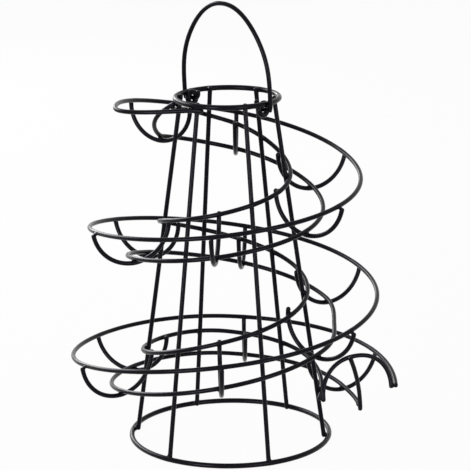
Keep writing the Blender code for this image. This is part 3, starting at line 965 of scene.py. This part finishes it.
class Sum:
    """One value, colour or vector of a material, with arithmetic that adds the nodes for it."""

    def __init__(self, shader, socket):
        self.shader = shader
        self.socket = socket

    def _value(self, operation, *inputs):
        return self.shader.node("ShaderNodeMath", {"operation": operation}, dict(enumerate(inputs)))

    def __add__(self, other):
        return self._value("ADD", self, other)

    def __radd__(self, other):
        return self._value("ADD", other, self)

    def __sub__(self, other):
        return self._value("SUBTRACT", self, other)

    def __rsub__(self, other):
        return self._value("SUBTRACT", other, self)

    def __mul__(self, other):
        return self._value("MULTIPLY", self, other)

    def __rmul__(self, other):
        return self._value("MULTIPLY", other, self)

    def clamped(self):
        """The value kept between 0 and 1."""
        settings = {"operation": "ADD", "use_clamp": True}
        return self.shader.node("ShaderNodeMath", settings, {0: self, 1: 0.0})

    def above(self, edge, width):
        """0 below the edge, 1 above it, with a ramp of a width between."""
        settings = {"interpolation_type": "SMOOTHSTEP"}
        inputs = {"Value": self, "From Min": edge, "From Max": edge + width}
        return self.shader.node("ShaderNodeMapRange", settings, inputs, "Result")


class Shader:
    """A node tree being written: every node comes from one method."""

    def __init__(self, tree):
        self.tree = tree
        tree.nodes.clear()

    def node(self, kind, settings=None, inputs=None, output=0):
        """Add a node, set its settings, then its sockets, and return one of its outputs."""
        node = self.tree.nodes.new(kind)
        for name, value in (settings or {}).items():
            setattr(node, name, value)
        for name, value in (inputs or {}).items():
            socket = node.inputs[name]
            if isinstance(value, Sum):
                self.tree.links.new(value.socket, socket)
            else:
                socket.default_value = value
        outputs = node.outputs
        return Sum(self, outputs[output]) if len(outputs) else node

    def mix_colour(self, factor, low, high):
        """A colour between two colours."""
        settings = {"data_type": "RGBA"}
        inputs = {"Factor": factor, 6: low, 7: high}
        return self.node("ShaderNodeMix", settings, inputs, 2)


def powder_coat(look):
    """Black powder coat: semi-gloss, with orange peel, fine grit, and a lighter top of dust and
    painted sheen.
    """
    material = bpy.data.materials.get(COAT_MATERIAL)
    if material:
        return material
    material = bpy.data.materials.new(COAT_MATERIAL)
    material.use_nodes = True
    shader = Shader(material.node_tree)
    place = shader.node("ShaderNodeTexCoord", output="Object")
    facing = shader.node("ShaderNodeNewGeometry", output="Normal")
    up = shader.node("ShaderNodeSeparateXYZ", inputs={0: facing}, output="Z")

    def noise(size, detail):
        inputs = {"Vector": place, "Scale": 1 / size, "Detail": detail, "Roughness": 0.5}
        return shader.node("ShaderNodeTexNoise", inputs=inputs, output="Fac")

    peel = noise(look.peel_size, 1.0)
    grit = noise(look.peel_size * GRIT_SIZE, 2.0)
    flow = noise(look.peel_size * FLOW_SIZE, 2.0)
    patches = noise(look.peel_size * PATCH_SIZE, 3.0)
    # Painted sheen and dust: faces that look up get the lighter colour, in patches, standing partly
    # for the light from above
    dust_and_sheen = up.above(DUST_AND_SHEEN_EDGE, DUST_AND_SHEEN_RAMP) * (LEAST_DUST_AND_SHEEN + patches * PATCH_DUST_AND_SHEEN)
    coat = (*look.colour, 1.0)
    dust_and_sheen_rgba = (*look.dust_and_sheen_colour, 1.0)
    colour = shader.mix_colour(dust_and_sheen.clamped(), coat, dust_and_sheen_rgba)
    speck = grit.above(SPECK_EDGE, SPECK_RAMP)
    colour = shader.mix_colour(speck * SPECK_DUST_AND_SHEEN, colour, dust_and_sheen_rgba)
    spread = look.roughness_spread
    roughness = look.roughness + (patches - 0.5) * (2 * spread) + (flow - 0.5) * spread
    height = peel + grit * GRIT_HEIGHT + flow * FLOW_HEIGHT
    dimples = {"Height": height, "Distance": look.peel_height, "Strength": 1.0}
    bump = shader.node("ShaderNodeBump", inputs=dimples, output="Normal")
    surface = shader.node(
        "ShaderNodeBsdfPrincipled",
        inputs={
            "Base Color": colour,
            "Roughness": roughness.clamped(),
            "Metallic": 0.0,
            "IOR": look.ior,
            "Specular Tint": (*look.facing_tint, 1.0),
            "Normal": bump,
        },
        output="BSDF",
    )
    shader.node("ShaderNodeOutputMaterial", inputs={"Surface": surface})
    return material


def seen_directly(shader):
    """1 for what the camera sees, straight or in a mirror or a glass, and 0 for other light."""
    rays = ("Is Camera Ray", "Is Glossy Ray", "Is Transmission Ray")
    camera, glossy, through = (shader.node("ShaderNodeLightPath", output=ray) for ray in rays)
    return (camera + glossy + through).clamped()


def floor_material(look):
    """A pale matt floor, whitened where it is seen, that keeps the rack's shadow."""
    material = bpy.data.materials.new("floor_matt")
    material.use_nodes = True
    shader = Shader(material.node_tree)
    colour = (*look.floor_colour, 1.0)
    matt = shader.node("ShaderNodeBsdfDiffuse", inputs={"Color": colour}, output="BSDF")
    white = shader.node("ShaderNodeEmission", inputs={"Color": WHITE, "Strength": 1.0})
    factor = seen_directly(shader) * look.floor_white
    mixed = shader.node("ShaderNodeMixShader", inputs={0: factor, 1: matt, 2: white})
    shader.node("ShaderNodeOutputMaterial", inputs={"Surface": mixed})
    return material


class RackOperator:
    """What the operators share."""

    bl_options = {"REGISTER", "UNDO"}


class RACK_OT_rings(RackOperator, bpy.types.Operator):
    """Build the base ring and the top ring"""

    bl_idname = "rack.rings"
    bl_label = "Rings"

    def execute(self, context):
        make_wires(context.scene, "ring")
        return {"FINISHED"}


class RACK_OT_rods(RackOperator, bpy.types.Operator):
    """Build the upright rods"""

    bl_idname = "rack.rods"
    bl_label = "Upright rods"

    def execute(self, context):
        make_wires(context.scene, "rod")
        return {"FINISHED"}


class RACK_OT_rails(RackOperator, bpy.types.Operator):
    """Build the outer rail with its nose, and the inner rail"""

    bl_idname = "rack.rails"
    bl_label = "Rails"

    def execute(self, context):
        make_wires(context.scene, "rail")
        return {"FINISHED"}


class RACK_OT_keel(RackOperator, bpy.types.Operator):
    """Build the keel wire with its curl"""

    bl_idname = "rack.keel"
    bl_label = "Keel wire"

    def execute(self, context):
        make_wires(context.scene, "keel")
        return {"FINISHED"}


class RACK_OT_cradles(RackOperator, bpy.types.Operator):
    """Build the U shaped cradles"""

    bl_idname = "rack.cradles"
    bl_label = "Cradles"

    def execute(self, context):
        make_wires(context.scene, "cradle")
        return {"FINISHED"}


class RACK_OT_stop(RackOperator, bpy.types.Operator):
    """Build the arch and the bar at the outlet"""

    bl_idname = "rack.stop"
    bl_label = "Egg stop"

    def execute(self, context):
        make_wires(context.scene, "stop")
        return {"FINISHED"}


class RACK_OT_eyelets(RackOperator, bpy.types.Operator):
    """Build the handle's two eyelets"""

    bl_idname = "rack.eyelets"
    bl_label = "Eyelets"

    def execute(self, context):
        make_wires(context.scene, "eyelet")
        return {"FINISHED"}


class RACK_OT_handle(RackOperator, bpy.types.Operator):
    """Build the bail handle"""

    bl_idname = "rack.handle"
    bl_label = "Bail handle"

    def execute(self, context):
        scene = context.scene
        points = bail_line(scene)
        radii = np.full(len(points), coated_radius(scene, "bail_handle"))
        shell = swept_wire(points, radii, False, scene.rack_coat.end_rounding)
        coat = powder_coat(scene.rack_coat)
        add_piece("bail_handle_coated", [shell], coat, MOVING_BODY, "bail_handle")
        return {"FINISHED"}


class RACK_OT_welds(RackOperator, bpy.types.Operator):
    """Build the fillet of every weld, grouped by what it holds"""

    bl_idname = "rack.welds"
    bl_label = "Welds"

    def execute(self, context):
        scene = context.scene
        look = scene.rack_coat
        kinds = ("cradle", "stop", "eyelet", "keel", "rail")
        groups = {}
        for weld in find_welds(scene, fixed_wires(scene)):
            pair = weld[0] + weld[1]
            kind = next((k for k in kinds if k in pair), "ring")
            radii = [coated_radius(scene, name) for name in weld[:2]]
            reach = look.foot_weld_reach if "base_ring" in weld[:2] else look.weld_reach
            shell = weld_fillet(weld, radii, reach, look.end_rounding)
            groups.setdefault(kind, []).append(shell)
        if not groups:
            raise RuntimeError("no two wires of the rack lie close enough to be welded")
        for kind, shells in groups.items():
            add_piece(kind + "_welds", shells, powder_coat(look), FIXED_BODY)
            print(kind, "welds:", len(shells))
        return {"FINISHED"}


class RACK_OT_stage(RackOperator, bpy.types.Operator):
    """Set up the floor, the world, the lamps and the camera"""

    bl_idname = "rack.stage"
    bl_label = "Studio"

    def execute(self, context):
        scene = context.scene
        look = scene.rack_studio
        _, _, _, _, stand = rack_plan(scene)
        make_floor(look)
        make_world(scene, look)
        lit = stand + Vector((0.0, 0.0, LIT_HEIGHT))
        for name, (place, size) in LAMPS.items():
            make_lamp(name + "_lamp", place, lit, size, getattr(look, name + "_power"))
        make_camera(scene, look, stand)
        scene.view_settings.view_transform = "Standard"
        return {"FINISHED"}


def make_floor(look):
    """A level square under the rack."""
    half = look.floor_size / 2
    mesh = bpy.data.meshes.new("floor")
    corners = [(-half, -half, 0), (half, -half, 0), (half, half, 0), (-half, half, 0)]
    mesh.from_pydata(corners, [], [(0, 1, 2, 3)])
    mesh.materials.append(floor_material(look))
    floor = bpy.data.objects.new("floor", mesh)
    bpy.context.scene.collection.objects.link(floor)


def make_world(scene, look):
    """White where it is seen, and an even weak light for the rest."""
    world = bpy.data.worlds.new("studio_world")
    world.use_nodes = True
    shader = Shader(world.node_tree)
    seen = seen_directly(shader)
    dim = shader.node("ShaderNodeBackground", inputs={"Color": WHITE, "Strength": look.ambient})
    white = shader.node("ShaderNodeBackground", inputs={"Color": WHITE, "Strength": 1.0})
    mixed = shader.node("ShaderNodeMixShader", inputs={0: seen, 1: dim, 2: white})
    shader.node("ShaderNodeOutputWorld", inputs={"Surface": mixed})
    scene.world = world


def make_lamp(name, place, target, size, energy):
    """A rectangular soft lamp that faces a point."""
    light = bpy.data.lights.new(name, "AREA")
    light.shape = "RECTANGLE"
    light.size, light.size_y = size
    light.energy = energy
    lamp = bpy.data.objects.new(name, light)
    lamp.location = place
    lamp.visible_camera = False
    lamp.rotation_euler = (target - Vector(place)).to_track_quat("-Z", "Y").to_euler()
    bpy.context.scene.collection.objects.link(lamp)


def make_camera(scene, look, stand):
    """The camera as it stood for the photograph, from the middle of the base ring."""
    low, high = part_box("base_ring")
    data = bpy.data.cameras.new("camera")
    data.lens = look.focal_length
    camera = bpy.data.objects.new("camera", data)
    camera.location = stand + Vector(look.camera_place) + Vector((0, 0, (low.z + high.z) / 2))
    look_down = Matrix.Rotation(math.radians(90.0 - look.camera_pitch), 4, "X")
    lean = Matrix.Rotation(-math.radians(look.camera_roll), 4, "Z")
    camera.rotation_euler = (look_down @ lean).to_euler()
    scene.collection.objects.link(camera)
    scene.camera = camera


class RACK_PT_panel(bpy.types.Panel):
    """The rack's buttons and sizes"""

    bl_idname = "RACK_PT_panel"
    bl_label = "Egg Rack"
    bl_space_type = "VIEW_3D"
    bl_region_type = "UI"
    bl_category = "Egg Rack"

    def draw(self, context):
        layout = self.layout
        for operator in OPERATORS:
            layout.operator(operator.bl_idname)
        for owner in SETTINGS:
            box = layout.box()
            box.label(text=owner.replace("rack_", "").capitalize())
            group = getattr(context.scene, owner)
            for name in group.__class__.__annotations__:
                box.prop(group, name)


OPERATORS = (
    RACK_OT_stage,
    RACK_OT_rings,
    RACK_OT_rods,
    RACK_OT_rails,
    RACK_OT_keel,
    RACK_OT_cradles,
    RACK_OT_stop,
    RACK_OT_eyelets,
    RACK_OT_handle,
    RACK_OT_welds,
)

SETTINGS = {
    "rack_tower": TowerSizes,
    "rack_chute": ChuteSizes,
    "rack_cradles": CradleSizes,
    "rack_stop": StopSizes,
    "rack_handle": HandleSizes,
    "rack_coat": CoatLook,
    "rack_studio": StudioLook,
}


def register():
    for owner, group in SETTINGS.items():
        bpy.utils.register_class(group)
        setattr(bpy.types.Scene, owner, PointerProperty(type=group))
    for operator in OPERATORS:
        bpy.utils.register_class(operator)
    bpy.utils.register_class(RACK_PT_panel)


def unregister():
    bpy.utils.unregister_class(RACK_PT_panel)
    for operator in reversed(OPERATORS):
        bpy.utils.unregister_class(operator)
    for owner, group in SETTINGS.items():
        delattr(bpy.types.Scene, owner)
        bpy.utils.unregister_class(group)


def main():
    register()
    bpy.ops.rack.stage()
    bpy.ops.rack.rings()
    bpy.ops.rack.rods()
    bpy.ops.rack.rails()
    bpy.ops.rack.keel()
    bpy.ops.rack.cradles()
    bpy.ops.rack.stop()
    bpy.ops.rack.eyelets()
    bpy.ops.rack.handle()
    bpy.ops.rack.welds()


if __name__ == "__main__":
    main()
